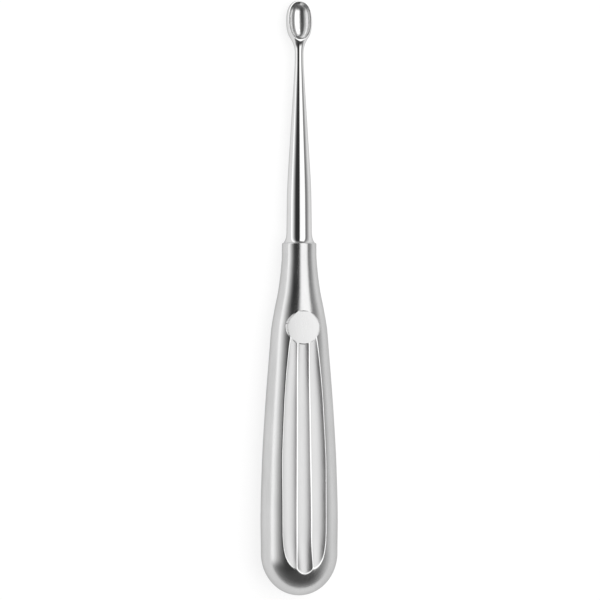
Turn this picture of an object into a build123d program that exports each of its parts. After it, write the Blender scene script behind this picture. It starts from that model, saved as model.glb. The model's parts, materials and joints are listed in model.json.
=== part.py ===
from build123d import *
from math import atan, cos, degrees, radians, sin, sqrt, tan
import os

# Bone curette: an oval cutting cup on a tapered shaft, seated in a hollow fluted handle.
# Millimetres. The part is drawn along +Y from the butt of the handle (y = 0) to the tip of the
# cup, with +Z out of the front face, then laid on its back as it rests on a table.

# Whole tool
TOTAL_LENGTH = 170.0
HANDLE_LENGTH = 100.7

# Handle outside: a rounded dome at the butt, stations up the grip, a round land at the neck
NECK_RADIUS = 4.93
NECK_LAND = 3.0
NECK_ROUNDING = 0.35
DOME_LENGTH = 12.1
GRIP_STATIONS = (
    # distance from the butt, half width, half thickness
    (DOME_LENGTH, 11.03, 9.05),
    (21.5, 11.13, 9.13),
    (35.8, 10.80, 8.86),
    (52.9, 9.87, 8.10),
    (70.1, 8.55, 7.15),
    (75.8, 8.08, 6.80),
    (81.5, 7.14, 6.27),
    (87.2, 5.99, 5.72),
    (93.0, 5.25, 5.20),
    (HANDLE_LENGTH - NECK_LAND, NECK_RADIUS, NECK_RADIUS),
)
GRIP_SECTIONS = 12
DOME_ANGLES = (15, 30, 45, 60, 72, 82, 88)

# Thumb pad: a flat round pad on each face, just above the flutes
PAD_RADIUS = 4.70
PAD_CENTRE = 76.6
PAD_HEIGHT = 6.30

# Three flutes run from the pad to the dome, on each face
FLUTE_RADIUS_AT_PAD = 4.1
FLUTE_RADIUS_AT_BUTT = 3.6
FLUTE_CROWN = -0.03
FLUTE_RISE_AT_BUTT = 2.3
RIDGE_AT_PAD = 1.60
RIDGE_AT_BUTT = 2.30
FLUTE_STATIONS = (
    # distance from the butt, distance of the outer ridge from the middle, radius of the flutes
    (70.1, 4.30, 4.8),
    (52.9, 5.75, 7.5),
    (35.8, 6.38, 8.3),
    (21.5, 6.33, 8.3),
    (DOME_LENGTH, 5.60, 5.9),
)
OUTER_RIDGE_AT_PAD = 4.00
OUTER_RIDGE_AT_BUTT = 5.30
FLUTE_OVERRUN = 3.0
FLUTE_SECTIONS = 12

# Handle inside
WALL = 1.15
BORE_LENGTH = 12.0
BORE_MOUTH = 3.0

# Shaft, from the handle to the cup
TANG_RADIUS = 3.50
TANG_LENGTH = 16.0
TANG_CLEARANCE = 0.0
SHOULDER_RADIUS = 4.55
SHOULDER_FLARE = 3.2
SHOULDER_SLOPE = 0.9
SHAFT_RADIUS = 3.64
TAPER_START_RADIUS = 3.48
TAPER_START_FROM_SHOULDER = 15.8
TAPER_START_EASE = 5.0
TAPER_END_FROM_TIP = 18.0
TAPER_END_EASE = 2.2
NECK_MIN_RADIUS = 1.24
NECK_MIN_FROM_TIP = 15.0
RIM_CUT_OVERRUN = 1.0

# Cup
CUP_RADIUS = 3.73
CUP_WIDEST_FROM_TIP = 5.7
CUP_HEEL_LENGTH = 6.5
CUP_SQUARENESS = 2.3
CUP_BLEND = 5.0
RIM_HEIGHT = 1.45
RIM_TILT = 5.0
HOLLOW_HALF_WIDTH = 3.20
HOLLOW_TIP_LENGTH = 5.3
HOLLOW_HEEL_LENGTH = 5.5
HOLLOW_DEPTH = 3.1

# Steps of the blunt oval outlines, in degrees, and the plane that holds the turned outlines
CUP_TURNS = (15, 30, 45, 60, 75)
ALONG = Plane(origin=(0, 0, 0), x_dir=(0, 1, 0), z_dir=(1, 0, 0))

# Spacing of the surface points that find how the tool rests
SURFACE_STEP = 0.02


def across(y):
    """The plane across the tool at a distance from the butt, drawn in X and Z."""
    return Plane(origin=(0, y, 0), x_dir=(1, 0, 0), z_dir=(0, -1, 0))


def oval(y, half_width, half_thickness):
    """One oval section of the grip."""
    return across(y) * Ellipse(half_width, half_thickness)


def smooth(rows, y, column):
    """A value at y on the smooth curve through the rows, which never bulges past them."""
    places = [row[0] for row in rows]
    values = [row[column] for row in rows]
    last = len(rows) - 1
    slopes = [
        (values[i + 1] - values[i]) / (places[i + 1] - places[i]) for i in range(last)
    ]
    leans = [0.0]
    for before, after in zip(slopes, slopes[1:]):
        turning = before * after <= 0
        leans.append(0.0 if turning else 2 * before * after / (before + after))
    leans.append(0.0)
    i = next(i for i in range(last) if y <= places[i + 1] or i == last - 1)
    gap = places[i + 1] - places[i]
    t = (y - places[i]) / gap
    from_values = (2 * t ** 3 - 3 * t ** 2 + 1) * values[i] + (3 * t ** 2 - 2 * t ** 3) * values[i + 1]
    from_leans = (t ** 3 - 2 * t ** 2 + t) * leans[i] + (t ** 3 - t ** 2) * leans[i + 1]
    return from_values + from_leans * gap


def grip_size(y):
    """Half width and half thickness of the grip between the dome and the neck land."""
    return smooth(GRIP_STATIONS, y, 1), smooth(GRIP_STATIONS, y, 2)


def closed_loft(sizes, dome_length):
    """An oval body from its last row down to its first, closed there by a rounded dome."""
    first_y, first_wide, first_thick = sizes[0]
    sections = [oval(*row) for row in reversed(sizes)]
    for angle in DOME_ANGLES:
        y = first_y - dome_length * sin(radians(angle))
        shrink = cos(radians(angle))
        sections.append(oval(y, first_wide * shrink, first_thick * shrink))
    return loft(sections)


def evenly(start, end, count):
    """Evenly spaced places from start to end, both included, in the nearest whole count."""
    whole = round(count)
    return [start + (end - start) * step / whole for step in range(whole + 1)]


def ridge_half_gap(y):
    """Half the distance between the two inner ridges, which part slowly towards the butt."""
    share = (PAD_CENTRE - y) / PAD_CENTRE
    return RIDGE_AT_PAD + (RIDGE_AT_BUTT - RIDGE_AT_PAD) * share


def flute_rows():
    """For each flute station: place, inner ridge x and z, outer ridge x and z, radius."""
    pad_row = (RIDGE_AT_PAD, PAD_HEIGHT, OUTER_RIDGE_AT_PAD, PAD_HEIGHT, FLUTE_RADIUS_AT_PAD)
    rows = [(PAD_CENTRE, *pad_row)]
    for y, outer, radius in FLUTE_STATIONS:
        wide, thick = grip_size(y)
        outer_z = thick * sqrt(1 - (outer / wide) ** 2)
        inner = ridge_half_gap(y)
        inner_z = outer_z + (outer - inner) * FLUTE_CROWN
        rows.append((y, inner, inner_z, outer, outer_z, radius))
    inner_z = rows[-1][2] + FLUTE_RISE_AT_BUTT
    outer_z = rows[-1][4] + 2 * FLUTE_RISE_AT_BUTT
    end_row = (RIDGE_AT_BUTT, inner_z, OUTER_RIDGE_AT_BUTT, outer_z, FLUTE_RADIUS_AT_BUTT)
    rows.append((-FLUTE_OVERRUN, *end_row))
    return rows


def flute_depth(y):
    """How far the floor of the middle flute lies below the ridges beside it."""
    radius = smooth(list(reversed(flute_rows())), y, 5)
    return radius - sqrt(radius ** 2 - ridge_half_gap(y) ** 2)


def centre_over(x1, z1, x2, z2, radius):
    """Centre of the flute circle that passes through two ridges and lies above them."""
    mid_x, mid_z = (x1 + x2) / 2, (z1 + z2) / 2
    run, rise = x2 - x1, z2 - z1
    chord = sqrt(run ** 2 + rise ** 2)
    height = sqrt(radius ** 2 - (chord / 2) ** 2)
    return mid_x - rise / chord * height, mid_z + run / chord * height


def flute_bar(rows):
    """A round bar along rows of y, x, z and radius; what it takes away is one flute."""
    rows = sorted(rows)
    sections = []
    for y in evenly(rows[0][0], rows[-1][0], FLUTE_SECTIONS):
        x, z, radius = (smooth(rows, y, column) for column in (1, 2, 3))
        sections.append(across(y) * Pos(x, z) * Circle(radius))
    return loft(sections)


def front_cuts():
    """What the three flutes of the front face take away, and the space above its pad."""
    rows = flute_rows()
    middle = [(y, *centre_over(-x, z, x, z, r), r) for y, x, z, _, _, r in rows]
    right = [(y, *centre_over(x, z, x2, z2, r), r) for y, x, z, x2, z2, r in rows]
    left = [(y, -x, z, r) for y, x, z, r in right]
    pad = Pos(0, PAD_CENTRE, 0) * Cylinder(PAD_RADIUS, 10 * PAD_HEIGHT)
    above = Pos(0, PAD_CENTRE, 1.5 * PAD_HEIGHT) * Cylinder(PAD_RADIUS, PAD_HEIGHT)
    return [flute_bar(sections) - pad for sections in (middle, right, left)] + [above]


def grip_outside():
    """The smooth outside of the handle, before its pads and flutes."""
    neck_end = HANDLE_LENGTH - NECK_LAND
    places = evenly(DOME_LENGTH, neck_end, GRIP_SECTIONS)
    grip = closed_loft([(y, *grip_size(y)) for y in places], DOME_LENGTH)
    land = extrude(across(HANDLE_LENGTH) * Circle(NECK_RADIUS), amount=NECK_LAND)
    land = fillet(land.edges().group_by(Axis.Y)[-1], NECK_ROUNDING)
    return grip + land


def inside_size(y):
    """Half width and half thickness of the hollow, one wall inside the grip and its flutes."""
    wide, thick = grip_size(y)
    if y > PAD_CENTRE - PAD_RADIUS:
        top = min(thick, PAD_HEIGHT)
    else:
        top = smooth(list(reversed(flute_rows())), y, 2) - flute_depth(y)
    return wide - WALL, top - WALL


def grip_inside():
    """The space inside the hollow handle, with the bore for the tang."""
    bore_end = HANDLE_LENGTH - BORE_LENGTH
    bore_radius = TANG_RADIUS + TANG_CLEARANCE
    places = evenly(DOME_LENGTH, bore_end - BORE_MOUTH, GRIP_SECTIONS)
    sizes = [(y, *inside_size(y)) for y in places] + [(bore_end, bore_radius, bore_radius)]
    hollow = closed_loft(sizes, DOME_LENGTH - WALL)
    bore = extrude(across(HANDLE_LENGTH) * Circle(bore_radius), amount=BORE_LENGTH)
    return hollow + bore


def make_handle():
    """The hollow handle, with the same pad and flutes on its front and its back."""
    handle = grip_outside()
    for cut in front_cuts():
        handle = handle - cut - mirror(cut, Plane.XY)
    handle = handle + Pos(0, PAD_CENTRE, 0) * Cylinder(PAD_RADIUS, 2 * PAD_HEIGHT)
    return handle - grip_inside()


def rounded_outline(share, squareness):
    """Radius, from 1 down to 0, of a blunt oval at a share of its length from the middle."""
    return max(1 - abs(share) ** squareness, 0) ** (1 / squareness)


def cup_radius(y):
    """Outside radius of the cup, blended into the thin neck behind it."""
    widest = TOTAL_LENGTH - CUP_WIDEST_FROM_TIP
    if y >= widest:
        return CUP_RADIUS * rounded_outline((y - widest) / CUP_WIDEST_FROM_TIP, CUP_SQUARENESS)
    bulb = CUP_RADIUS * rounded_outline(min((widest - y) / CUP_HEEL_LENGTH, 1), CUP_SQUARENESS)
    return (bulb ** CUP_BLEND + NECK_MIN_RADIUS ** CUP_BLEND) ** (1 / CUP_BLEND)


def bend_radius(ease, slope_before, slope_after):
    """Radius of the bend that takes up this length on each side of a corner of the outline."""
    return ease / tan(abs(atan(slope_after) - atan(slope_before)) / 2)


def make_scoop_and_shaft():
    """One forging: tang, flared shoulder, tapered shaft, thin neck and hollowed cup."""
    shoulder = HANDLE_LENGTH
    flare_end = (shoulder + SHOULDER_FLARE, SHAFT_RADIUS)
    taper_start = (shoulder + TAPER_START_FROM_SHOULDER, TAPER_START_RADIUS)
    taper_end = (TOTAL_LENGTH - TAPER_END_FROM_TIP, NECK_MIN_RADIUS)
    neck = (TOTAL_LENGTH - NECK_MIN_FROM_TIP, NECK_MIN_RADIUS)
    land_slope = (TAPER_START_RADIUS - SHAFT_RADIUS) / (taper_start[0] - flare_end[0])
    taper_slope = (NECK_MIN_RADIUS - TAPER_START_RADIUS) / (taper_end[0] - taper_start[0])
    bends = [
        bend_radius(TAPER_START_EASE, land_slope, taper_slope),
        bend_radius(TAPER_END_EASE, taper_slope, 0),
    ]
    widest = TOTAL_LENGTH - CUP_WIDEST_FROM_TIP
    places = [widest - CUP_HEEL_LENGTH * step / 6 for step in reversed(range(6))]
    places += [widest + CUP_WIDEST_FROM_TIP * sin(radians(turn)) for turn in CUP_TURNS]
    cup_outline = [neck] + [(y, cup_radius(y)) for y in places] + [(TOTAL_LENGTH, 0)]
    with BuildPart() as forging:
        with BuildSketch(ALONG):
            with BuildLine():
                Polyline(
                    (TOTAL_LENGTH, 0),
                    (shoulder - TANG_LENGTH, 0),
                    (shoulder - TANG_LENGTH, TANG_RADIUS),
                    (shoulder, TANG_RADIUS),
                    (shoulder, SHOULDER_RADIUS),
                )
                Spline(
                    (shoulder, SHOULDER_RADIUS),
                    flare_end,
                    tangents=((1, -SHOULDER_SLOPE), (1, land_slope)),
                )
                FilletPolyline(
                    flare_end,
                    taper_start,
                    taper_end,
                    neck,
                    radius=bends,
                )
                Spline(*cup_outline, tangents=((1, 0), (0, -1)))
            make_face()
        revolve(axis=Axis.Y)
    return forging.part - rim_place() * (above_rim() + make_hollow())


def rim_place():
    """The middle of the cup's rim, which tilts down towards the tip."""
    return Pos(0, TOTAL_LENGTH - CUP_WIDEST_FROM_TIP, RIM_HEIGHT) * Rot(-RIM_TILT, 0, 0)


def above_rim():
    """The block above the rim, from the thin neck to past the tip."""
    back = NECK_MIN_FROM_TIP - CUP_WIDEST_FROM_TIP
    front = CUP_WIDEST_FROM_TIP + RIM_CUT_OVERRUN
    height = 2 * CUP_RADIUS
    return Pos(0, (front - back) / 2, height / 2) * Box(4 * CUP_RADIUS, front + back, height)


def hollow_side(length):
    """Half of the outline of the hollow, from its widest place to one end."""
    shares = [sin(radians(turn)) for turn in CUP_TURNS]
    return [
        (length * share, HOLLOW_HALF_WIDTH * rounded_outline(share, CUP_SQUARENESS))
        for share in shares
    ] + [(length, 0)]


def make_hollow():
    """The space inside the cup, a blunt oval bowl below the level of the rim."""
    heel_side = [(-y, radius) for y, radius in reversed(hollow_side(HOLLOW_HEEL_LENGTH))]
    outline = heel_side + [(0, HOLLOW_HALF_WIDTH)] + hollow_side(HOLLOW_TIP_LENGTH)
    with BuildPart() as bowl:
        with BuildSketch(ALONG):
            with BuildLine():
                Spline(*outline, tangents=((0, 1), (0, -1)))
                Line(outline[0], outline[-1])
            make_face()
        revolve(axis=Axis.Y)
    return scale(bowl.part, by=(1, 1, HOLLOW_DEPTH / HOLLOW_HALF_WIDTH))


def surface_points(pieces):
    """Points spread over the surface of all the pieces."""
    return [point for piece in pieces for point in piece.tessellate(SURFACE_STEP)[0]]


def rest_angle(pieces):
    """The small turn about X that lays the back of the tool on a level surface."""
    whole = sum(piece.volume for piece in pieces)
    balance = sum(piece.center(CenterOf.MASS).Y * piece.volume for piece in pieces) / whole
    hull = []
    for y, z in sorted((point.Y, point.Z) for point in surface_points(pieces)):
        while len(hull) > 1:
            (y1, z1), (y2, z2) = hull[-2:]
            if (y2 - y1) * (z - z1) > (z2 - z1) * (y - y1):
                break
            hull.pop()
        hull.append((y, z))
    edges = zip(hull, hull[1:])
    (y1, z1), (y2, z2) = next(edge for edge in edges if edge[1][0] >= balance)
    return -degrees(atan((z2 - z1) / (y2 - y1)))


def lay_down(pieces):
    """The pieces as they rest, with the origin under the middle of the tool."""
    turned = [Rot(rest_angle(pieces), 0, 0) * piece for piece in pieces]
    points = surface_points(turned)
    middle_y = (min(point.Y for point in points) + max(point.Y for point in points)) / 2
    lowest = min(point.Z for point in points)
    print("turn", round(rest_angle(pieces), 3), "shift", round(-middle_y, 3), round(-lowest, 3))
    return [Pos(0, -middle_y, -lowest) * piece for piece in turned]


os.makedirs("parts", exist_ok=True)
names = ("handle", "scoop_and_shaft")
for name, piece in zip(names, lay_down([make_handle(), make_scoop_and_shaft()])):
    export_step(piece, f"parts/{name}.step")
    print(name, "volume", round(piece.volume, 1))
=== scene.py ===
import json
import math

import bmesh
import bpy
import numpy as np
from mathutils import Matrix, Vector


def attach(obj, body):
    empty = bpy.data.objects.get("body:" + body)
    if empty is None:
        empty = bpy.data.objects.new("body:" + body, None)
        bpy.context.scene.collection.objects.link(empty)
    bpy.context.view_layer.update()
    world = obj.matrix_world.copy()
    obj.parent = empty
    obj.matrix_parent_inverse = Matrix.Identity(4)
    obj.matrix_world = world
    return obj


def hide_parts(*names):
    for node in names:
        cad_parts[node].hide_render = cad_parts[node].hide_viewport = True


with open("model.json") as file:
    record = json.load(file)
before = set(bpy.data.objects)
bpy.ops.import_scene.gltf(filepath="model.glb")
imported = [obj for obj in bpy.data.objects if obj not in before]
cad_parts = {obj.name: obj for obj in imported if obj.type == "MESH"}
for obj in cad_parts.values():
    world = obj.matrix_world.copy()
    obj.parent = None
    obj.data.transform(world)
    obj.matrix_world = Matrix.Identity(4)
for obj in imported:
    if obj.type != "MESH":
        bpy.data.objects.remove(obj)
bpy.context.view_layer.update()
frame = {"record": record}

# Bone curette. Shapes are worked out in the tool's own millimetres: y from the butt of the handle
# to the tip of the cup, z out of the front face, x across. They are then laid on the frame.

MM = 0.001

# Sizes of the whole tool
TOTAL_LENGTH = 170.0
HANDLE_LENGTH = 100.7
NECK_MOUNT_FROM_BUTT = 99.0

# Sizes of the handle
NECK_RADIUS = 4.93
NECK_LAND = 3.0
NECK_ROUNDING = 0.35
DOME_LENGTH = 12.1
GRIP_STATIONS = np.array([
    # distance from the butt, half width, half thickness
    (DOME_LENGTH, 11.03, 9.05),
    (21.5, 11.13, 9.13),
    (35.8, 10.80, 8.86),
    (52.9, 9.87, 8.10),
    (70.1, 8.55, 7.15),
    (75.8, 8.08, 6.80),
    (81.5, 7.14, 6.27),
    (87.2, 5.99, 5.72),
    (93.0, 5.25, 5.20),
    (HANDLE_LENGTH - NECK_LAND, NECK_RADIUS, NECK_RADIUS),
])
PAD_RADIUS = 4.70
PAD_CENTRE = 76.6
PAD_HEIGHT = 6.30
PAD_EDGE = 0.16
PAD_DOME_RADIUS = 55.0
FLUTE_RADIUS_AT_PAD = 4.1
FLUTE_RADIUS_AT_BUTT = 3.6
FLUTE_CROWN = -0.03
FLUTE_RISE_AT_BUTT = 2.3
FLUTE_OVERRUN = 3.0
RIDGE_AT_PAD = 1.60
RIDGE_AT_BUTT = 2.30
FLUTE_STATIONS = (
    # distance from the butt, distance of the outer ridge from the middle, radius of the flutes
    (70.1, 4.30, 4.8),
    (52.9, 5.75, 7.5),
    (35.8, 6.38, 8.3),
    (21.5, 6.33, 8.3),
    (DOME_LENGTH, 5.60, 5.9),
)
OUTER_RIDGE_AT_PAD = 4.00
OUTER_RIDGE_AT_BUTT = 5.30
RIDGE_SOFTNESS = 0.15
WALL = 1.15
BORE_LENGTH = 12.0
BORE_MOUTH = 3.0
BORE_RADIUS = 3.5

# Sizes of the shaft and the cup
TANG_LENGTH = 16.0
SEAT_GAP = 0.01
SHOULDER_RADIUS = 4.55
SHOULDER_FLARE = 3.2
SHOULDER_SLOPE = 0.9
SHAFT_RADIUS = 3.64
TAPER_START = (HANDLE_LENGTH + 15.8, 3.48)
TAPER_START_EASE = 5.0
TAPER_END_FROM_TIP = 18.0
TAPER_END_EASE = 2.2
NECK_MIN_RADIUS = 1.24
NECK_MIN_FROM_TIP = 15.0
CUP_RADIUS = 3.73
CUP_WIDEST = TOTAL_LENGTH - 5.7
CUP_TIP_LENGTH = 5.7
CUP_HEEL_LENGTH = 6.5
CUP_SQUARENESS = 2.3
CUP_BLEND = 5.0
RIM_HEIGHT = 1.45
RIM_TILT = math.radians(5.0)
RIM_EDGE = 0.02
RIM_EDGE_FADE = 0.5
HOLLOW_HALF_WIDTH = 3.20
HOLLOW_TIP_LENGTH = 5.3
HOLLOW_HEEL_LENGTH = 5.5
HOLLOW_DEPTH = 3.1

# Marks that a point can carry, each from 0 to 1: matt surface, and worn edge, which also carries a
# painted highlight along the ridges
PLAIN_MARK = (0.0, 0.0)
# Mark of the cup's hollow: matt, and painted lighter, which is painted light
HOLLOW_MATT_AND_LIGHT_MARK = (1.0, 0.0)
PAD_MATT = 0.5
FLUTE_FINISH_DEPTH = 0.12
RIDGE_EDGE_SHARE = 0.2

# Mesh of the handle's outside: rows along it, and columns from the side to the middle flute
DOME_ROWS = 64
DOME_FIRST_TURN = 89.0
GRIP_ROWS = 94
PAD_ROWS = 104
PAD_ROWS_START = 70.8
PAD_ROWS_END = 82.3
NECK_ROWS = 46
SIDE_COLUMNS = 24
SIDE_CROWD = 1.6
OUTER_COLUMNS = 24
MIDDLE_COLUMNS = 26
RIDGE_CROWD = 0.7
RIDGE_FIXED_BELOW = 5.0
INNER_RIDGE_LIMIT = 0.9
OUTER_RIDGE_LIMIT = 0.95
FAR_UP = 1000.0

# Mesh of the handle's end face and inside
ROUNDING_RINGS = 7
END_FACE_MIDDLE = 4.1
BORE_RINGS = 3
HOLLOW_RINGS = 14
HOLLOW_END_TURNS = (20, 40, 60, 75, 87)

# Mesh of the shaft's outline. Each straight run leaves out the points that its bends replace.
SHAFT_COLUMNS = 145
FLARE_STEPS = 26
LAND_POINTS, LAND_RUN = 14, slice(1, 8)
BEND_POINTS = 20
TAPER_POINTS, TAPER_RUN = 26, slice(5, -2)
END_BEND_POINTS = 10

# Mesh of the cup. The roundings beside the rim are shares of RIM_EDGE: inward and down.
CUP_STEPS = 12
CUP_HEEL_STEPS = 6
CUP_TURNS = (15, 30, 45, 60, 75)
RIM_TOLERANCE = 1e-9
RIM_ROUNDING = ((0.1, 0.25), (0.8, 0.0))
LAND_SHARES = (0.33, 0.66, 1.0)
INNER_EDGE_SHARE = 1.004
INNER_EDGE_DROP = 0.25 * RIM_EDGE
HOLLOW_FIRST_TURN = 1.6
HOLLOW_ROWS = 34

# Building of a piece: distances in millimetres for welding, and the angle of a sharp edge
WELD_DISTANCE = 0.0004
SLIVER_DISTANCE = 0.0001
SHARP_ANGLE = math.radians(42)

# Camera: turned a little to the left of straight in front, far off, framing the whole tool
CAMERA_ROLL = math.radians(11.7)
CAMERA_DISTANCE = 900.0
VIEW_HEIGHT = 171.5
VIEW_CENTRE_Y = 84.39
VIEW_CENTRE_X = 0.24
SENSOR = 36.0
CLIP_START = 0.01


# Numbers and curves


def hermite(t, start, end, start_lean, end_lean):
    """The cubic from start to end that leaves and arrives with the given leans."""
    from_values = (2 * t ** 3 - 3 * t ** 2 + 1) * start + (3 * t ** 2 - 2 * t ** 3) * end
    return from_values + (t ** 3 - 2 * t ** 2 + t) * start_lean + (t ** 3 - t ** 2) * end_lean


def smooth(rows, places, column=1):
    """Values at places on the smooth curve through the rows, which never bulges past them."""
    rows = np.asarray(rows, float)
    rows = rows[np.argsort(rows[:, 0])]
    at, values = rows[:, 0], rows[:, column]
    gaps = np.diff(at)
    slopes = np.diff(values) / gaps
    before, after = slopes[:-1], slopes[1:]
    turning = before * after <= 0
    total = np.where(turning, 1.0, before + after)
    leans = np.concatenate(([0.0], np.where(turning, 0.0, 2 * before * after / total), [0.0]))
    places = np.asarray(places, float)
    i = np.clip(np.searchsorted(at, places) - 1, 0, len(at) - 2)
    t = np.clip((places - at[i]) / gaps[i], 0.0, 1.0)
    return hermite(t, values[i], values[i + 1], leans[i] * gaps[i], leans[i + 1] * gaps[i])


def soft_min(a, b, softness):
    """The lower of two heights, rounded off where they cross."""
    h = np.clip(softness - np.abs(a - b), 0.0, None) / softness
    return np.minimum(a, b) - h * h * softness / 4


def ease(value, low, high):
    """0 at low, 1 at high, smooth between."""
    t = np.clip((value - low) / (high - low), 0.0, 1.0)
    return t * t * (3 - 2 * t)


def natural_curve(points, first_lean, last_lean, steps):
    """Smooth curve through points in the plane, with a given direction at each end."""
    points = np.asarray(points, float)
    chords = np.linalg.norm(np.diff(points, axis=0), axis=1)
    count = len(points)
    matrix = np.zeros((count, count))
    right = np.zeros((count, 2))
    matrix[0, 0] = matrix[-1, -1] = 1.0
    right[0] = np.array(first_lean) / np.linalg.norm(first_lean)
    right[-1] = np.array(last_lean) / np.linalg.norm(last_lean)
    for i in range(1, count - 1):
        h0, h1 = chords[i - 1], chords[i]
        matrix[i, i - 1:i + 2] = (h1, 2 * (h0 + h1), h0)
        rise0 = (points[i] - points[i - 1]) / h0
        rise1 = (points[i + 1] - points[i]) / h1
        right[i] = 3 * (h1 * rise0 + h0 * rise1)
    leans = np.linalg.solve(matrix, right)
    out = [points[0]]
    for i in range(count - 1):
        ends = (points[i], points[i + 1], leans[i] * chords[i], leans[i + 1] * chords[i])
        out += [hermite(step / steps, *ends) for step in range(1, steps + 1)]
    return np.array(out)


# Placing and building meshes


def tool_placement():
    """Matrix from the tool's own millimetres to the frame, read off the record's two mounts."""
    mounts = {mount["name"]: mount for mount in frame["record"]["mounts"]}
    along = Vector(mounts["handle_neck"]["axis"]).normalized()
    out = Vector(mounts["thumb_pad"]["axis"]).normalized()
    across = along.cross(out)
    origin = Vector(mounts["handle_neck"]["pos_m"]) - along * NECK_MOUNT_FROM_BUTT * MM
    columns = Matrix((across, along, out)).transposed() * MM
    return Matrix.Translation(origin) @ columns.to_4x4()


PLACE = tool_placement()


def grid_faces(rows, columns, closed):
    """Quads of a grid of rows by columns, whose last column may join its first."""
    last = columns if closed else columns - 1
    faces = []
    for i in range(rows - 1):
        for j in range(last):
            k = (j + 1) % columns
            a = i * columns
            b = a + columns
            faces.append((a + j, a + k, b + k, b + j))
    return faces


def make_piece(name, parts, material, node):
    """One piece from (points, faces, matt and edge marks) parts, welded and laid on the frame. The
    edge mark also carries a painted highlight, and the matt mark carries painted light in the
    cup's hollow.
    """
    points, faces, marks = [], [], []
    for part_points, part_faces, part_marks in parts:
        first = len(points)
        points.extend(map(tuple, part_points))
        faces.extend(tuple(first + k for k in face) for face in part_faces)
        marks.extend(part_marks)
    mesh = bpy.data.meshes.new(name)
    mesh.from_pydata(points, [], faces)
    for label, values in zip(("matt", "edge"), zip(*marks)):
        mesh.attributes.new(label, "FLOAT", "POINT").data.foreach_set("value", values)
    work = bmesh.new()
    work.from_mesh(mesh)
    bmesh.ops.remove_doubles(work, verts=work.verts, dist=WELD_DISTANCE)
    bmesh.ops.dissolve_degenerate(work, edges=work.edges, dist=SLIVER_DISTANCE)
    bmesh.ops.recalc_face_normals(work, faces=work.faces)
    work.transform(PLACE)
    work.to_mesh(mesh)
    work.free()
    mesh.shade_smooth()
    mesh.set_sharp_from_angle(angle=SHARP_ANGLE)
    mesh.materials.append(material)
    piece = bpy.data.objects.new(name, mesh)
    bpy.context.scene.collection.objects.link(piece)
    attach(piece, "root")
    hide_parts(node)
    return piece


# Handle


def grip_size(y):
    """Half width and half thickness of the grip, between the dome and the neck land."""
    return smooth(GRIP_STATIONS, y, 1), smooth(GRIP_STATIONS, y, 2)


def dome_size(y):
    """Half width and half thickness anywhere on the handle, the rounded butt included."""
    wide, thick = grip_size(np.maximum(y, DOME_LENGTH))
    share = np.clip((DOME_LENGTH - y) / DOME_LENGTH, 0.0, 1.0)
    shrink = np.sqrt(1 - share ** 2)
    return wide * shrink, thick * shrink


def ridge_half_gap(y):
    """Half the distance between the two inner ridges."""
    return RIDGE_AT_PAD + (RIDGE_AT_BUTT - RIDGE_AT_PAD) * (PAD_CENTRE - y) / PAD_CENTRE


def flute_rows():
    """For each flute station: place, inner ridge x and z, outer ridge x and z, radius."""
    rows = [(
        PAD_CENTRE, RIDGE_AT_PAD, PAD_HEIGHT, OUTER_RIDGE_AT_PAD, PAD_HEIGHT, FLUTE_RADIUS_AT_PAD
    )]
    for y, outer, radius in FLUTE_STATIONS:
        wide, thick = (float(size) for size in grip_size(y))
        outer_z = thick * math.sqrt(1 - (outer / wide) ** 2)
        inner = ridge_half_gap(y)
        inner_z = outer_z + (outer - inner) * FLUTE_CROWN
        rows.append((y, inner, inner_z, outer, outer_z, radius))
    inner_z = rows[-1][2] + FLUTE_RISE_AT_BUTT
    outer_z = rows[-1][4] + 2 * FLUTE_RISE_AT_BUTT
    end_row = (RIDGE_AT_BUTT, inner_z, OUTER_RIDGE_AT_BUTT, outer_z, FLUTE_RADIUS_AT_BUTT)
    rows.append((-FLUTE_OVERRUN, *end_row))
    return rows


FLUTE_ROWS = flute_rows()


def centre_over(x1, z1, x2, z2, radius):
    """Centre of the flute circle that passes through two ridges and lies above them."""
    run, rise = x2 - x1, z2 - z1
    chord = math.hypot(run, rise)
    height = math.sqrt(radius ** 2 - (chord / 2) ** 2)
    return (x1 + x2) / 2 - rise / chord * height, (z1 + z2) / 2 + run / chord * height


def flute_height(x, y, side):
    """Height of the floor of a flute: side is -1, 0 or 1. Far up where it doesn't reach."""
    rows = []
    for place, x1, z1, x2, z2, radius in FLUTE_ROWS:
        ends = (x1, z1, x2, z2) if side else (-x1, z1, x1, z1)
        rows.append((place, *centre_over(*ends, radius), radius))
    centre_x = side * smooth(rows, y, 1)
    centre_z, radius = smooth(rows, y, 2), smooth(rows, y, 3)
    reach = radius ** 2 - (x - centre_x) ** 2
    floor = centre_z - np.sqrt(np.clip(reach, 0.0, None))
    return np.where(reach > 0, floor, FAR_UP)


def front_height(x, y, height):
    """Height of the front face with its flutes and pad, how matt it is, and where its worn edges
    are, which also carry a painted highlight.
    """
    cut = sharp = height
    for side in (-1, 0, 1):
        floor = flute_height(x, np.minimum(y, PAD_CENTRE), side)
        floor = np.where(y < PAD_CENTRE + PAD_RADIUS, floor, FAR_UP)
        cut = soft_min(cut, floor, RIDGE_SOFTNESS)
        sharp = np.minimum(sharp, floor)
    from_middle = np.hypot(x, y - PAD_CENTRE)
    pad = PAD_HEIGHT - from_middle ** 2 / (2 * PAD_DOME_RADIUS)
    inside = 1 - ease(from_middle, PAD_RADIUS - PAD_EDGE / 2, PAD_RADIUS + PAD_EDGE / 2)
    # Worn edge along the ridges: smoother steel there, and a painted highlight
    edge = ease(sharp - cut, 0.0, RIDGE_SOFTNESS * RIDGE_EDGE_SHARE) * (1 - inside)
    hollowed = ease(height - sharp, 0.0, FLUTE_FINISH_DEPTH) * (1 - edge)
    matt = np.maximum(hollowed * (1 - inside), PAD_MATT * inside)
    return cut * (1 - inside) + pad * inside, matt, edge


def spread(cells, crowd):
    """Shares from 0 to 1, crowded at both ends by the given amount."""
    even = np.linspace(0.0, 1.0, cells + 1)
    return even * (1 - crowd) + (1 - np.cos(math.pi * even)) / 2 * crowd


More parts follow.
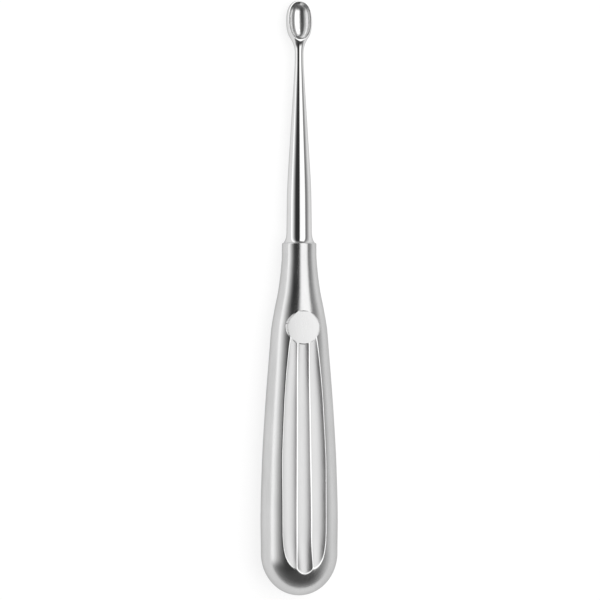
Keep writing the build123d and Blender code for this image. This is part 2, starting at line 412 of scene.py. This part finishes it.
def column_turns(y):
    """Angle of each column across the front, whose lines follow the four ridges."""
    y = np.clip(y, RIDGE_FIXED_BELOW, PAD_CENTRE)
    wide, _ = dome_size(y)
    outer_rows = [(row[0], row[3]) for row in FLUTE_ROWS]
    inner = np.arcsin(np.clip(ridge_half_gap(y) / wide, 0, INNER_RIDGE_LIMIT))
    outer = np.arcsin(np.clip(smooth(outer_rows, y) / wide, 0, OUTER_RIDGE_LIMIT))
    flat = np.full_like(inner, math.pi / 2)
    edges = [-flat, -outer, -inner, inner, outer, flat]
    side = np.linspace(0.0, 1.0, SIDE_COLUMNS + 1) ** SIDE_CROWD
    beside, middle = spread(OUTER_COLUMNS, RIDGE_CROWD), spread(MIDDLE_COLUMNS, RIDGE_CROWD)
    shares = [1 - side[::-1], beside, middle, beside, side]
    turns = []
    for low, high, share in zip(edges, edges[1:], shares):
        for step in share[:-1]:
            turns.append(low + (high - low) * step)
    turns.append(flat)
    return np.array(turns).T


def handle_places():
    """Distances from the butt of the rows of the handle's outside, up to the neck rounding."""
    angles = np.radians(np.linspace(DOME_FIRST_TURN, 0.0, DOME_ROWS, endpoint=False))
    dome = DOME_LENGTH * (1 - np.sin(angles))
    grip = np.linspace(DOME_LENGTH, PAD_ROWS_START, GRIP_ROWS, endpoint=False)
    pad = np.linspace(PAD_ROWS_START, PAD_ROWS_END, PAD_ROWS, endpoint=False)
    neck = np.linspace(PAD_ROWS_END, HANDLE_LENGTH - NECK_ROUNDING, NECK_ROWS)
    return np.concatenate((dome, grip, pad, neck))


def ring(turns, y, wide, thick):
    """A whole oval ring from the angles of its front half."""
    front = [(wide * math.sin(t), y, thick * math.cos(t)) for t in turns]
    back = [(wide * math.sin(t), y, -thick * math.cos(t)) for t in turns[::-1][1:-1]]
    return front + back


def inside_rings(turns):
    """Rings of the end face, the bore and the hollow, down to its rounded end."""
    rings = []
    for step in range(1, ROUNDING_RINGS + 1):
        angle = math.pi / 2 * step / ROUNDING_RINGS
        radius = NECK_RADIUS - NECK_ROUNDING * (1 - math.cos(angle))
        y = HANDLE_LENGTH - NECK_ROUNDING * (1 - math.sin(angle))
        rings.append(ring(turns, y, radius, radius))
    for radius in (END_FACE_MIDDLE, BORE_RADIUS):
        rings.append(ring(turns, HANDLE_LENGTH, radius, radius))
    bore_end = HANDLE_LENGTH - BORE_LENGTH
    for y in np.linspace(HANDLE_LENGTH, bore_end, BORE_RINGS + 1)[1:]:
        rings.append(ring(turns, y, BORE_RADIUS, BORE_RADIUS))
    sizes = []
    for y in np.linspace(bore_end - BORE_MOUTH, DOME_LENGTH, HOLLOW_RINGS):
        wide, thick = (float(size) for size in grip_size(y))
        gap = ridge_half_gap(y)
        top = min(thick, PAD_HEIGHT)
        if y <= PAD_CENTRE - PAD_RADIUS:
            radius = float(smooth(FLUTE_ROWS, y, 5))
            depth = radius - math.sqrt(radius ** 2 - gap ** 2)
            top = float(smooth(FLUTE_ROWS, y, 2)) - depth
        sizes.append((y, wide - WALL, top - WALL))
    rings += [ring(turns, *size) for size in sizes]
    _, wide, thick = sizes[-1]
    for angle in np.radians(HOLLOW_END_TURNS):
        y = DOME_LENGTH - (DOME_LENGTH - WALL) * math.sin(angle)
        shrink = math.cos(angle)
        rings.append(ring(turns, y, wide * shrink, thick * shrink))
    return rings


def fan(first, count, pole):
    """Triangles from a ring of points to a pole."""
    return [(first + j, first + (j + 1) % count, pole) for j in range(count)]


def handle_shape():
    """Points, faces and marks of the whole handle, outside and inside."""
    y = handle_places()
    turns = column_turns(y)
    wide, thick = dome_size(y)
    deep = y[:, None]
    x = wide[:, None] * np.sin(turns)
    height, front_matt, ridge_wear_and_highlight = front_height(x, deep, thick[:, None] * np.cos(turns))
    rings, finish_and_highlight = [], []
    for i in range(len(y)):
        front = [(x[i, j], y[i], height[i, j]) for j in range(x.shape[1])]
        back = [(px, py, -pz) for px, py, pz in front[::-1][1:-1]]
        rings.append(front + back)
        marks = list(zip(front_matt[i], ridge_wear_and_highlight[i]))
        finish_and_highlight += marks + marks[::-1][1:-1]
    rings += inside_rings(turns[-1])
    columns = len(rings[0])
    points = [point for one in rings for point in one]
    faces = grid_faces(len(rings), columns, True)
    points += [(0.0, 0.0, 0.0), (0.0, WALL, 0.0)]
    faces += fan(0, columns, len(points) - 2)
    faces += fan((len(rings) - 1) * columns, columns, len(points) - 1)
    finish_and_highlight += [PLAIN_MARK] * (len(points) - len(finish_and_highlight))
    return points, faces, finish_and_highlight


# Scoop and shaft


def eased_corner(before, corner, after, length, steps):
    """Points of a smooth bend that takes up a length of outline on each side of a corner."""
    before, corner, after = (np.array(p, float) for p in (before, corner, after))
    start = corner + (before - corner) / np.linalg.norm(before - corner) * length
    end = corner + (after - corner) / np.linalg.norm(after - corner) * length
    shares = np.linspace(0.0, 1.0, steps)[:, None]
    return (1 - shares) ** 2 * start + 2 * shares * (1 - shares) * corner + shares ** 2 * end


def rounded_outline(share):
    """Radius, from 1 down to 0, of the blunt oval at a share of its length."""
    return np.clip(1 - np.abs(share) ** CUP_SQUARENESS, 0, None) ** (1 / CUP_SQUARENESS)


def cup_radius(y):
    """Outside radius of the cup, blended into the thin neck behind it."""
    if y >= CUP_WIDEST:
        return CUP_RADIUS * float(rounded_outline((y - CUP_WIDEST) / CUP_TIP_LENGTH))
    bulb = CUP_RADIUS * float(rounded_outline(min((CUP_WIDEST - y) / CUP_HEEL_LENGTH, 1)))
    return (bulb ** CUP_BLEND + NECK_MIN_RADIUS ** CUP_BLEND) ** (1 / CUP_BLEND)


def shaft_outline():
    """Outline of the shaft from the shoulder to where the cup begins."""
    flare_start = np.array((HANDLE_LENGTH + SEAT_GAP, SHOULDER_RADIUS))
    flare_end = np.array((HANDLE_LENGTH + SHOULDER_FLARE, SHAFT_RADIUS))
    taper_end = (TOTAL_LENGTH - TAPER_END_FROM_TIP, NECK_MIN_RADIUS)
    neck = (TOTAL_LENGTH - NECK_MIN_FROM_TIP, NECK_MIN_RADIUS)
    land = np.array(TAPER_START) - flare_end
    flare = natural_curve([flare_start, flare_end], (1, -SHOULDER_SLOPE), land, FLARE_STEPS)
    runs = [
        flare,
        np.linspace(flare_end, TAPER_START, LAND_POINTS)[LAND_RUN],
        eased_corner(flare_end, TAPER_START, taper_end, TAPER_START_EASE, BEND_POINTS),
        np.linspace(TAPER_START, taper_end, TAPER_POINTS)[TAPER_RUN],
        eased_corner(TAPER_START, taper_end, neck, TAPER_END_EASE, END_BEND_POINTS),
        np.array([neck]),
    ]
    return np.concatenate(runs)


def cup_outline():
    """Outline of the cup from the thin neck round to the tip."""
    heel_steps = reversed(range(CUP_HEEL_STEPS))
    places = [CUP_WIDEST - CUP_HEEL_LENGTH * step / CUP_HEEL_STEPS for step in heel_steps]
    places += [CUP_WIDEST + CUP_TIP_LENGTH * math.sin(math.radians(t)) for t in CUP_TURNS]
    points = [(TOTAL_LENGTH - NECK_MIN_FROM_TIP, NECK_MIN_RADIUS)]
    points += [(y, cup_radius(y)) for y in places] + [(TOTAL_LENGTH, 0)]
    return natural_curve(points, (1, 0), (0, -1), CUP_STEPS)[1:]


def rim_level(y):
    """Height of the rim, which tilts down towards the tip."""
    return RIM_HEIGHT + (CUP_WIDEST - y) * math.tan(RIM_TILT)


def with_rim_ends(outline):
    """The outline with points added exactly where it crosses the level of the rim."""
    out = [outline[0]]
    for before, after in zip(outline, outline[1:]):
        over = [radius - rim_level(y) for y, radius in (before, after)]
        if before[0] >= TOTAL_LENGTH - NECK_MIN_FROM_TIP and over[0] * over[1] < 0:
            out.append(before + (after - before) * over[0] / (over[0] - over[1]))
        out.append(after)
    return np.array(out)


def rim_edge(y, radius):
    """How far the rounding of the rim reaches down, none where the rim runs out."""
    return min(RIM_EDGE, max(radius - rim_level(y), 0.0) * RIM_EDGE_FADE)


def on_rim(x, along, above):
    """A point given across, along and above the tilted rim, in the tool's millimetres."""
    cos, sin = math.cos(RIM_TILT), math.sin(RIM_TILT)
    return x, CUP_WIDEST + along * cos + above * sin, RIM_HEIGHT - along * sin + above * cos


def hollow_point(across, along, share):
    """Point of the hollow on the way from its middle to its edge in one direction."""
    length = HOLLOW_TIP_LENGTH if along > 0 else HOLLOW_HEEL_LENGTH
    u, v = across / HOLLOW_HALF_WIDTH, along / length
    scale = (abs(u) ** CUP_SQUARENESS + abs(v) ** CUP_SQUARENESS) ** (-1 / CUP_SQUARENESS)
    x, y = u * scale * share * HOLLOW_HALF_WIDTH, v * scale * share * length
    half = HOLLOW_HALF_WIDTH * float(rounded_outline(min(abs(y) / length, 1)))
    depth = HOLLOW_DEPTH / HOLLOW_HALF_WIDTH * math.sqrt(max(half ** 2 - x ** 2, 0.0))
    return x, y, depth if share < 1 else 0.0


def rim_rings(rim_rows):
    """Rings of the rim's rounded outside, and where each of their points starts on the rim."""
    sides = [(y, radius, 1) for y, radius in rim_rows]
    sides += [(y, radius, -1) for y, radius in rim_rows[-2:0:-1]]
    rings = [[], [], []]
    starts = []
    for y, radius, side in sides:
        edge, level = rim_edge(y, radius), rim_level(y)
        half = math.sqrt(max(radius ** 2 - level ** 2, 0.0))
        low = math.sqrt(max(radius ** 2 - (level - edge) ** 2, 0.0))
        rings[0].append((side * low, y, level - edge))
        for one, (inward, down) in zip(rings[1:], RIM_ROUNDING):
            one.append((side * (half - inward * edge), y, level - down * edge))
        starts.append((side * half, (y - CUP_WIDEST) / math.cos(RIM_TILT)))
    return rings, starts


def land_rings(top, starts):
    """Rings of the rim's flat land, from its outer ring to its rounded inner edge."""
    land_edge = 1 + RIM_EDGE / HOLLOW_HALF_WIDTH
    inner = [on_rim(*hollow_point(*start, land_edge)[:2], 0.0) for start in starts]
    rings = []
    for share in LAND_SHARES:
        pairs = zip(top, inner)
        rings.append([tuple(p + (q - p) * share for p, q in zip(a, b)) for a, b in pairs])
    edge = [hollow_point(*start, INNER_EDGE_SHARE)[:2] for start in starts]
    return rings + [[on_rim(x, y, -INNER_EDGE_DROP) for x, y in edge]]


def cup_top(rim_rows):
    """Points, faces and marks of the rim and the hollow of the cup, from rows (y, radius). The
    hollow's mark makes it rougher and paints it lighter, as painted light.
    """
    rings, starts = rim_rings(rim_rows)
    rings += land_rings(rings[-1], starts)
    columns = len(starts)
    land = len(rings) * columns
    for angle in np.radians(np.linspace(HOLLOW_FIRST_TURN, 90, HOLLOW_ROWS, endpoint=False)):
        below = [hollow_point(*start, math.cos(angle)) for start in starts]
        rings.append([on_rim(x, y, -depth) for x, y, depth in below])
    points = [point for one in rings for point in one]
    faces = grid_faces(len(rings), columns, True)
    points.append(on_rim(0.0, 0.0, -HOLLOW_DEPTH))
    faces += fan((len(rings) - 1) * columns, columns, len(points) - 1)
    return points, faces, [PLAIN_MARK] * land + [HOLLOW_MATT_AND_LIGHT_MARK] * (len(points) - land)


def shaft_shape():
    """The tang, the shaft and the outside of the cup as one part, and the cup's top as another."""
    tang_end = HANDLE_LENGTH - TANG_LENGTH
    tang = BORE_RADIUS - SEAT_GAP
    seat = HANDLE_LENGTH + SEAT_GAP
    start = np.array([(tang_end, 0), (tang_end, tang), (seat, tang)])
    outline = with_rim_ends(np.concatenate((start, shaft_outline(), cup_outline())))
    turns = np.linspace(0.0, 1.0, SHAFT_COLUMNS)
    points, rim_rows = [], []
    for y, radius in outline:
        top = 0.0
        if y > TOTAL_LENGTH - NECK_MIN_FROM_TIP and radius >= rim_level(y) - RIM_TOLERANCE:
            top = math.acos(min((rim_level(y) - rim_edge(y, radius)) / radius, 1.0))
            rim_rows.append((y, radius))
        angles = top + turns * 2 * (math.pi - top)
        points += [(radius * math.sin(a), y, radius * math.cos(a)) for a in angles]
    faces = grid_faces(len(outline), SHAFT_COLUMNS, False)
    return [(points, faces, [PLAIN_MARK] * len(points)), cup_top(rim_rows)]


# Materials

# How much of the bright glancing reflection of a metal steel keeps
EDGE_TINT = (0.65, 0.65, 0.65, 1.0)

# Patterns in the steels: their detail, and their waves to a metre across, along and through
FINE_LINES = (3.0, (9000, 160, 9000))
STREAKS = (4.0, (2600, 45, 2600))
CLOUDS = (3.0, (240, 90, 240))
BUFF_LINES = (3.0, (5200, 120, 5200))
HAZE = (2.0, (300, 110, 300))
FINE_SHARE = 0.45
STREAK_SHARE = 0.55

# Look of each steel. Its roughness and its tone start at a level, to which each pattern and mark
# adds by its weight. The tone moves the record's grey from the lower change to the higher one.
# The relief has a pattern, a strength and a height in metres.
SATIN = {
    "roughness": (0.10, {"grain": 0.14, "clouds": 0.10, "matt": 0.14, "edge": -0.05}),
    # The edge mark's tone is a painted highlight along the ridges; its lower roughness is the
    # polish of wear
    "tone": (-0.55, {"grain": 1.0, "clouds": 1.1, "matt": -0.25, "edge": 2.2}),
    "greys": (-0.08, 0.04),
    "relief": ("grain", 0.25, 0.00002),
}
POLISHED = {
    "roughness": (0.02, {"haze": 0.05, "lines": 0.03, "matt": 0.20}),
    # The matt mark's tone paints the cup's hollow lighter: painted light
    "tone": (0.0, {"haze": 1.0, "matt": 2.4}),
    "greys": (-0.08, 0.0),
    "relief": ("lines", 0.06, 0.000008),
}

# The floor's own grey, which takes the shadows, and the glow that brings it to white
FLOOR_GREY = 0.25
FLOOR_GLOW = 0.80


class Nodes:
    """A short way to write a node tree."""

    def __init__(self, tree):
        self.tree = tree
        tree.nodes.clear()

    def add(self, kind, **settings):
        node = self.tree.nodes.new(kind)
        for key, value in settings.items():
            setattr(node, key, value)
        return node

    def link(self, start, end):
        self.tree.links.new(start, end)

    def put(self, socket, value):
        if isinstance(value, bpy.types.NodeSocket):
            self.link(value, socket)
        else:
            socket.default_value = value

    def math(self, operation, *values):
        node = self.add("ShaderNodeMath", operation=operation)
        for socket, value in zip(node.inputs, values):
            self.put(socket, value)
        return node.outputs[0]

    def step(self, value, low, high, start=0.0, end=1.0):
        """A smooth change from start to end as value goes from low to high."""
        node = self.add("ShaderNodeMapRange", interpolation_type="SMOOTHSTEP")
        ends = {"From Min": low, "From Max": high, "To Min": start, "To Max": end}
        for name, entry in {"Value": value, **ends}.items():
            self.put(node.inputs[name], entry)
        return node.outputs[0]

    def noise(self, place, detail, stretch):
        """A soft random pattern from 0 to 1, stretched along the tool."""
        mapping = self.add("ShaderNodeMapping")
        mapping.inputs["Scale"].default_value = stretch
        self.link(place, mapping.inputs["Vector"])
        node = self.add("ShaderNodeTexNoise")
        node.inputs["Scale"].default_value = 1.0
        node.inputs["Detail"].default_value = detail
        self.link(mapping.outputs[0], node.inputs["Vector"])
        return node.outputs["Fac"]

    def mark(self, name):
        """One of the marks that the points of a piece carry."""
        return self.add("ShaderNodeAttribute", attribute_name=name).outputs["Fac"]


def new_material(name):
    """An empty material and the nodes to fill it with."""
    material = bpy.data.materials.new(name)
    material.use_nodes = True
    return material, Nodes(material.node_tree)


def slot_grey(slot):
    """The base grey that the record gives a slot."""
    entry = next(m for m in frame["record"]["materials"] if m["slot"] == slot)
    return entry["base_color"][0]


def grey_between(n, value, low, high):
    """A grey that follows value from low to high."""
    level = n.math("MULTIPLY_ADD", value, high - low, low)
    join = n.add("ShaderNodeCombineColor")
    for socket in join.inputs[:3]:
        n.link(level, socket)
    return join.outputs[0]


def steel(name):
    """A new metal, its nodes, the place on it and its shader."""
    material, n = new_material(name)
    place = n.add("ShaderNodeTexCoord").outputs["Object"]
    shader = n.add("ShaderNodeBsdfPrincipled")
    shader.inputs["Metallic"].default_value = 1.0
    shader.inputs["Specular Tint"].default_value = EDGE_TINT
    return material, n, place, shader


def weighted(n, patterns, level, weights):
    """A level plus each pattern or mark times its weight."""
    for name, weight in weights.items():
        level = n.math("MULTIPLY_ADD", patterns[name], weight, level)
    return level


def finish_steel(n, shader, slot, patterns, look):
    """Gives a metal its roughness, its grey and its relief, as its look says."""
    n.link(weighted(n, patterns, *look["roughness"]), shader.inputs["Roughness"])
    tone = weighted(n, patterns, *look["tone"])
    low, high = (slot_grey(slot) + change for change in look["greys"])
    n.link(grey_between(n, tone, low, high), shader.inputs["Base Color"])
    pattern, strength, height = look["relief"]
    bump = n.add("ShaderNodeBump")
    bump.inputs["Strength"].default_value = strength
    bump.inputs["Distance"].default_value = height
    n.link(patterns[pattern], bump.inputs["Height"])
    n.link(bump.outputs[0], shader.inputs["Normal"])
    out = n.add("ShaderNodeOutputMaterial")
    n.link(shader.outputs[0], out.inputs[0])


def satin_steel():
    """Steel brushed along its length: fine streaks, slight cloudiness, and softly worn ridges with
    a painted highlight along them.
    """
    material, n, place, shader = steel("satin_steel")
    fine = n.math("MULTIPLY", n.noise(place, *FINE_LINES), FINE_SHARE)
    streaks = n.math("MULTIPLY", n.noise(place, *STREAKS), STREAK_SHARE)
    patterns = {
        "grain": n.math("ADD", fine, streaks),
        "clouds": n.noise(place, *CLOUDS),
        "matt": n.mark("matt"),
        # worn edge of the ridges, with its painted highlight
        "edge": n.mark("edge"),
    }
    finish_steel(n, shader, "satin_steel", patterns, SATIN)
    return material


def polished_steel():
    """Mirror polished steel with the faint lines that a buff leaves along it, and a rougher cup
    hollow painted lighter, as painted light.
    """
    material, n, place, shader = steel("polished_steel")
    patterns = {
        "lines": n.noise(place, *BUFF_LINES),
        "haze": n.noise(place, *HAZE),
        # matt mark of the cup's hollow, which also paints it lighter as painted light
        "matt": n.mark("matt"),
    }
    finish_steel(n, shader, "polished_steel", patterns, POLISHED)
    return material


def pale_floor():
    """A plain white floor that shows white where it is open and keeps soft shadows."""
    material, n = new_material("pale_floor")
    path = n.add("ShaderNodeLightPath")
    shown = n.math("MAXIMUM", path.outputs["Is Camera Ray"], path.outputs["Is Glossy Ray"])
    shown = n.math("MAXIMUM", shown, path.outputs["Is Transmission Ray"])
    base = n.add("ShaderNodeBsdfDiffuse")
    base.inputs["Color"].default_value = (FLOOR_GREY, FLOOR_GREY, FLOOR_GREY, 1)
    glow = n.add("ShaderNodeEmission")
    n.link(n.math("MULTIPLY", shown, FLOOR_GLOW), glow.inputs["Strength"])
    both = n.add("ShaderNodeAddShader")
    n.link(base.outputs[0], both.inputs[0])
    n.link(glow.outputs[0], both.inputs[1])
    out = n.add("ShaderNodeOutputMaterial")
    n.link(both.outputs[0], out.inputs[0])
    return material


# Studio

STUDIO_GREY = 0.10

# Soft panels of the studio, seen from the tool. Each has the angles round the tool's length
# where it starts and is full, then where it begins to fade and is gone, the same pair of pairs
# for the angle up and down the tool, and its brightness. Right of the camera is positive.
PANELS = (
    ((-30, -76, -90, -100), (-28, -10, 58, 78), 1.30),
    ((1, 14, 50, 64), (-36, -20, 56, 70), 1.46),
    ((40, 118, 150, 180), (-60, -20, 50, 85), 0.58),
    ((-44, -24, -2, 12), (-52, -30, 52, 72), -0.06),
)

# Light that stands all round the studio just above the floor, by height of direction
HORIZON = (0.0, 0.45, 0.25)

# Half width of the floor and how far it lies under the tool, in metres
FLOOR_SIZE = 3.0
FLOOR_DROP = 0.00005

# Lamp overhead: its width and height in metres, and its power
LAMP_SIZE = 1.6
LAMP_HEIGHT = 1.5
LAMP_ENERGY = 9.0


def view_directions():
    """Directions toward the camera, to its right and up along the tool, in the frame."""
    turn = PLACE.to_3x3().normalized()
    toward = turn @ Vector((-math.sin(CAMERA_ROLL), 0, math.cos(CAMERA_ROLL)))
    right = turn @ Vector((math.cos(CAMERA_ROLL), 0, math.sin(CAMERA_ROLL)))
    return toward, right, turn @ Vector((0, 1, 0))


def dot(n, direction, constant):
    """How far a direction points along a constant one."""
    node = n.add("ShaderNodeVectorMath", operation="DOT_PRODUCT")
    n.link(direction, node.inputs[0])
    node.inputs[1].default_value = constant
    return node.outputs["Value"]


def band(n, value, limits):
    """1 between the two middle limits, 0 outside the outer two."""
    start, full, fade, gone = limits
    return n.math("MULTIPLY", n.step(value, start, full), n.step(value, fade, gone, 1.0, 0.0))


def make_world():
    """Grey studio with soft panels, and plain white where the camera looks past the tool."""
    world = bpy.data.worlds.new("studio")
    world.use_nodes = True
    bpy.context.scene.world = world
    n = Nodes(world.node_tree)
    direction = n.add("ShaderNodeTexCoord").outputs["Generated"]
    toward, right, up = view_directions()
    round_tool = n.math("ARCTAN2", dot(n, direction, right), dot(n, direction, toward))
    round_tool = n.math("DEGREES", round_tool)
    along_tool = n.math("DEGREES", n.math("ARCSINE", dot(n, direction, up)))
    level = STUDIO_GREY
    for sideways, lengthwise, brightness in PANELS:
        shape = n.math("MULTIPLY", band(n, round_tool, sideways), band(n, along_tool, lengthwise))
        level = n.math("MULTIPLY_ADD", shape, brightness, level)
    low, high, brightness = HORIZON
    height = dot(n, direction, (0, 0, 1))
    level = n.math("ADD", level, n.step(height, low, high, brightness, 0.0))
    light, plain = (n.add("ShaderNodeBackground") for _ in range(2))
    light.inputs["Color"].default_value = plain.inputs["Color"].default_value = (1, 1, 1, 1)
    n.link(level, light.inputs["Strength"])
    plain.inputs["Strength"].default_value = 1.0
    mix = n.add("ShaderNodeMixShader")
    n.link(n.add("ShaderNodeLightPath").outputs["Is Camera Ray"], mix.inputs[0])
    n.link(light.outputs[0], mix.inputs[1])
    n.link(plain.outputs[0], mix.inputs[2])
    out = n.add("ShaderNodeOutputWorld")
    n.link(mix.outputs[0], out.inputs[0])


def make_floor():
    """A square floor just under the tool, linked to the scene and left out of the tool's body."""
    mesh = bpy.data.meshes.new("floor")
    signs = ((-1, -1), (1, -1), (1, 1), (-1, 1))
    corners = [(x * FLOOR_SIZE, y * FLOOR_SIZE, 0) for x, y in signs]
    mesh.from_pydata(corners, [], [(0, 1, 2, 3)])
    mesh.materials.append(pale_floor())
    floor = bpy.data.objects.new("floor", mesh)
    floor.location.z = -FLOOR_DROP
    bpy.context.scene.collection.objects.link(floor)


def make_fill():
    """A wide soft lamp overhead that lights the floor and isn't mirrored in the steel."""
    lamp = bpy.data.lights.new("overhead", "AREA")
    lamp.shape = "DISK"
    lamp.size = LAMP_SIZE
    lamp.energy = LAMP_ENERGY
    holder = bpy.data.objects.new("overhead", lamp)
    holder.location = (0, 0, LAMP_HEIGHT)
    holder.visible_glossy = False
    bpy.context.scene.collection.objects.link(holder)


def make_camera():
    """The camera of the photo: far off, a little to the left, with the whole tool in view."""
    toward, right, up = view_directions()
    target = PLACE @ Vector((0, VIEW_CENTRE_Y, 0)) + right * VIEW_CENTRE_X * MM
    data = bpy.data.cameras.new("camera")
    data.sensor_width = SENSOR
    data.lens = SENSOR * CAMERA_DISTANCE / VIEW_HEIGHT
    data.clip_start = CLIP_START
    camera = bpy.data.objects.new("camera", data)
    turn = Matrix((right, up, toward)).transposed().to_4x4()
    camera.matrix_world = Matrix.Translation(target + toward * CAMERA_DISTANCE * MM) @ turn
    bpy.context.scene.collection.objects.link(camera)
    bpy.context.scene.camera = camera


make_camera()
make_world()
make_floor()
make_fill()
make_piece("fluted_handle", [handle_shape()], satin_steel(), "handle")
make_piece("cup_and_shaft", shaft_shape(), polished_steel(), "scoop_and_shaft")
bpy.context.scene.view_settings.view_transform = "Standard"
